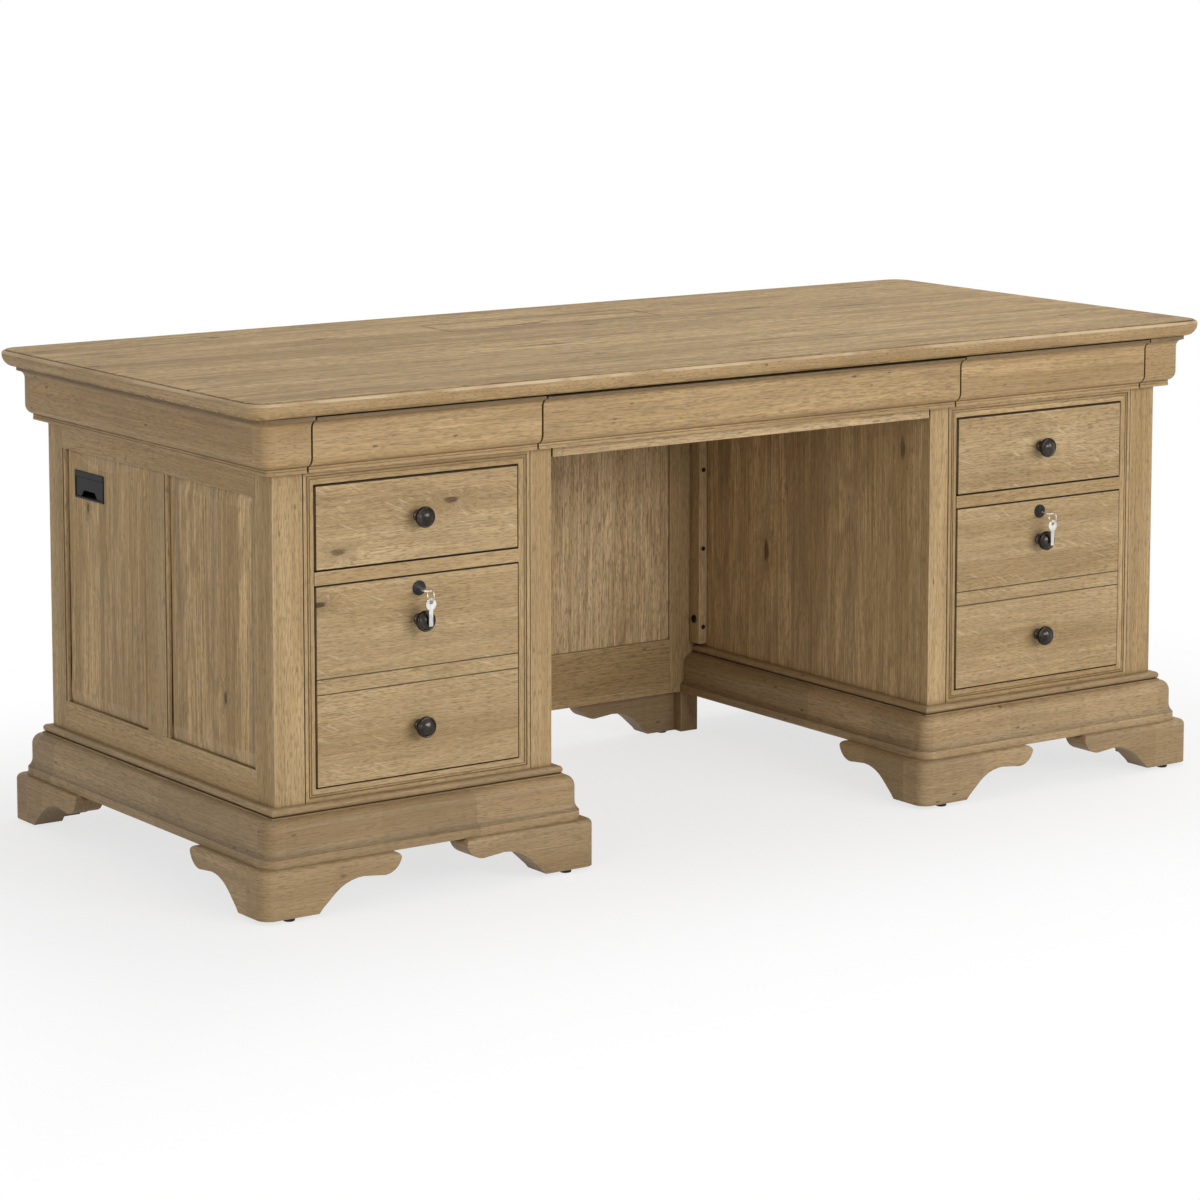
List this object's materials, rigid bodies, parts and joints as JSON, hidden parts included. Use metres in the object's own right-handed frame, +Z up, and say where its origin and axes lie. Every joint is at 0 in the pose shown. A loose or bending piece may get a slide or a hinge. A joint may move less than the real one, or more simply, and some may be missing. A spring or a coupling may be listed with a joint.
{
  "type": "executive desk",
  "caption": "Double pedestal executive desk in knotty oak with a moulded frieze, panelled sides, bracket feet, lockable drawers, a drop-front tray, a wire hatch and a cable outlet.",
  "frame": {"origin": "on the floor under the middle of the top", "axes": "+X to the right of a person sitting at the desk, +Y away from them to the back, +Z up"},
  "size_m": [1.844, 0.812, 0.762],
  "materials": {
    "top_oak": "satin, knotty planks",
    "frieze_oak": "satin",
    "frame_oak": "satin",
    "moulding_oak": "satin",
    "panel_oak": "satin",
    "drawer_oak": "satin, ray fleck",
    "plinth_oak": "satin",
    "inner_wood": "matt",
    "slide_steel": "zinc plated",
    "knob_bronze": "dark antique bronze",
    "lock_black": "black",
    "key_nickel": "nickel plated",
    "fastener_black": "black oxide",
    "grommet_plastic": "fine texture",
    "glide_plastic": "plain"
  },
  "bodies": {
    "desk": {"back_panels": "panel_oak", "bracket_feet": "plinth_oak", "cabinet_slides": "slide_steel", "cable_grommet": "grommet_plastic", "case_boards": "inner_wood", "cleat_fasteners": "fastener_black", "desk_top": "top_oak", "foot_blocks": "inner_wood", "foot_glides": "glide_plastic", "frieze_back": "frieze_oak", "frieze_front_corners": "frieze_oak", "frieze_sides": "frieze_oak", "inner_sides": "panel_oak", "left_face_rails": "frame_oak", "left_front_posts": "frame_oak", "left_plinth": "plinth_oak", "left_side_frame": "frame_oak", "modesty_cleats": "inner_wood", "modesty_frame": "frame_oak", "modesty_panel": "panel_oak", "opening_mouldings": "moulding_oak", "pedestal_backs": "frame_oak", "right_face_rails": "frame_oak", "right_front_posts": "frame_oak", "right_plinth": "plinth_oak", "right_side_frame": "frame_oak", "side_beads": "frame_oak", "side_panels": "panel_oak", "wire_tray": "inner_wood"},
    "hatch_lid": {"hatch_lid": "top_oak"},
    "grommet_flap": {"grommet_flap": "grommet_plastic"},
    "centre_tray": {"centre_tray": "inner_wood"},
    "centre_front": {"centre_front": "frieze_oak"},
    "left_frieze_drawer": {"left_frieze_front": "frieze_oak", "left_frieze_tray": "inner_wood"},
    "left_box_drawer": {"left_box_front": "drawer_oak", "left_box_tray": "inner_wood", "left_box_knob": "knob_bronze", "left_box_slides": "slide_steel"},
    "left_file_drawer": {"left_file_front": "drawer_oak", "left_file_tray": "inner_wood", "left_file_knobs": "knob_bronze", "left_file_slides": "slide_steel", "left_lock_cylinder": "lock_black"},
    "left_key": {"left_lock_key": "key_nickel"},
    "left_ring": {"left_key_ring": "key_nickel"},
    "right_frieze_drawer": {"right_frieze_front": "frieze_oak", "right_frieze_tray": "inner_wood"},
    "right_box_drawer": {"right_box_front": "drawer_oak", "right_box_tray": "inner_wood", "right_box_knob": "knob_bronze", "right_box_slides": "slide_steel"},
    "right_file_drawer": {"right_file_front": "drawer_oak", "right_file_tray": "inner_wood", "right_file_knobs": "knob_bronze", "right_file_slides": "slide_steel", "right_lock_cylinder": "lock_black"},
    "right_key": {"right_lock_key": "key_nickel"},
    "right_ring": {"right_key_ring": "key_nickel"}
  },
  "joints": [
    {"name": "hatch_hinge", "type": "hinge", "parent": "desk", "child": "hatch_lid", "pos_m": [0, 0.269, 0.7595], "axis": [-1, 0, 0], "range_deg": [0, 95]},
    {"name": "grommet_flap_hinge", "type": "hinge", "parent": "desk", "child": "grommet_flap", "pos_m": [-0.855, 0.2185, 0.5704], "axis": [0, 1, 0], "range_deg": [0, 90]},
    {"name": "centre_tray_slide", "type": "slide", "parent": "desk", "child": "centre_tray", "axis": [0, -1, 0], "range_m": [0, 0.35]},
    {"name": "centre_front_drop", "type": "hinge", "parent": "centre_tray", "child": "centre_front", "pos_m": [0, -0.3485, 0.65], "axis": [1, 0, 0], "range_deg": [0, 90]},
    {"name": "left_frieze_slide", "type": "slide", "parent": "desk", "child": "left_frieze_drawer", "axis": [0, -1, 0], "range_m": [0, 0.36]},
    {"name": "left_box_slide", "type": "slide", "parent": "desk", "child": "left_box_drawer", "axis": [0, -1, 0], "range_m": [0, 0.42]},
    {"name": "left_file_slide", "type": "slide", "parent": "desk", "child": "left_file_drawer", "axis": [0, -1, 0], "range_m": [0, 0.42]},
    {"name": "left_lock_turn", "type": "hinge", "parent": "left_file_drawer", "child": "left_key", "pos_m": [-0.608, -0.347, 0.458], "axis": [0, 1, 0], "range_deg": [0, 90]},
    {"name": "left_ring_swing", "type": "hinge", "parent": "left_key", "child": "left_ring", "pos_m": [-0.608, -0.373, 0.458], "axis": [0, 1, 0], "range_deg": [-30, 30]},
    {"name": "right_frieze_slide", "type": "slide", "parent": "desk", "child": "right_frieze_drawer", "axis": [0, -1, 0], "range_m": [0, 0.36]},
    {"name": "right_box_slide", "type": "slide", "parent": "desk", "child": "right_box_drawer", "axis": [0, -1, 0], "range_m": [0, 0.42]},
    {"name": "right_file_slide", "type": "slide", "parent": "desk", "child": "right_file_drawer", "axis": [0, -1, 0], "range_m": [0, 0.42]},
    {"name": "right_lock_turn", "type": "hinge", "parent": "right_file_drawer", "child": "right_key", "pos_m": [0.608, -0.347, 0.458], "axis": [0, -1, 0], "range_deg": [0, 90]},
    {"name": "right_ring_swing", "type": "hinge", "parent": "right_key", "child": "right_ring", "pos_m": [0.608, -0.373, 0.458], "axis": [0, 1, 0], "range_deg": [-30, 30]}
  ]
}
